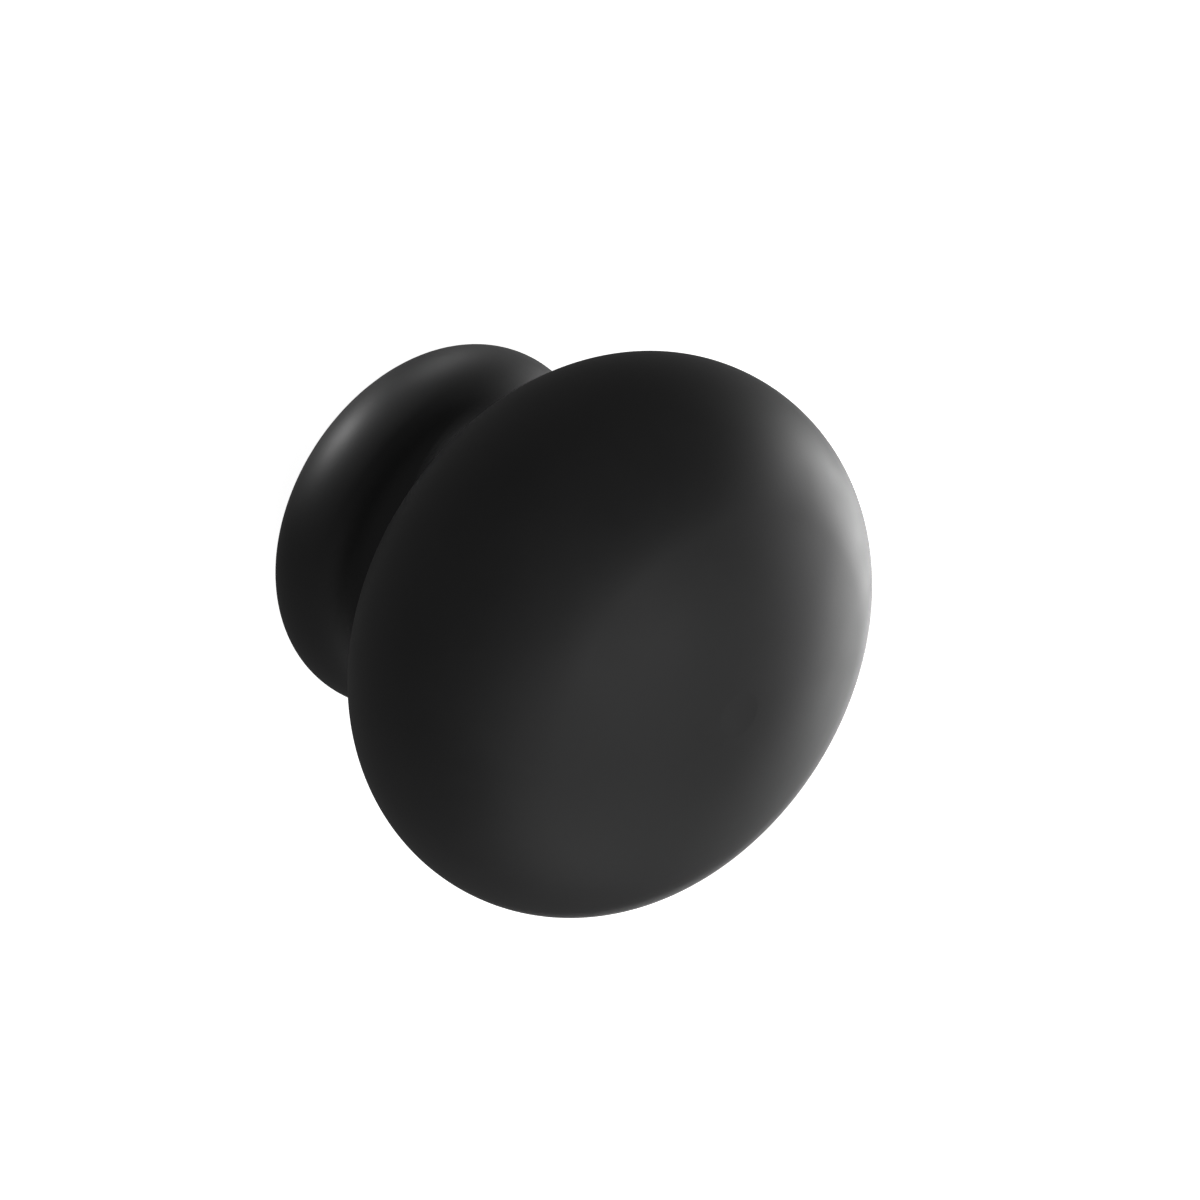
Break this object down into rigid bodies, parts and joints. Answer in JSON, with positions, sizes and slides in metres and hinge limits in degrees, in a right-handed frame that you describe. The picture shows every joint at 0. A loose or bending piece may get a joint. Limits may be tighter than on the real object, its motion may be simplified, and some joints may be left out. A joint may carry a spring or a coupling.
{
  "type": "case opening friction ball",
  "caption": "Double-ended rubber friction ball: a large and a small domed head joined by a narrow waist, pressed on a watch case back and turned by hand to unscrew it.",
  "frame": {"origin": "centre of the small face's flat land, where the tool stands on that face", "axes": "+Z along the tool's axis of revolution, from the small head to the large head; X and Y across the heads"},
  "size_m": [0.06, 0.06, 0.0551],
  "materials": {
    "natural_rubber": "satin moulded rubber, faintly bloomed",
    "plated_steel": "bright zinc plate"
  },
  "bodies": {
    "root": {"large_ball": "natural_rubber", "small_ball": "natural_rubber", "spindle": "plated_steel", "large_anchor_plate": "plated_steel", "small_anchor_plate": "plated_steel", "large_nut": "plated_steel", "small_nut": "plated_steel"}
  },
  "joints": []
}
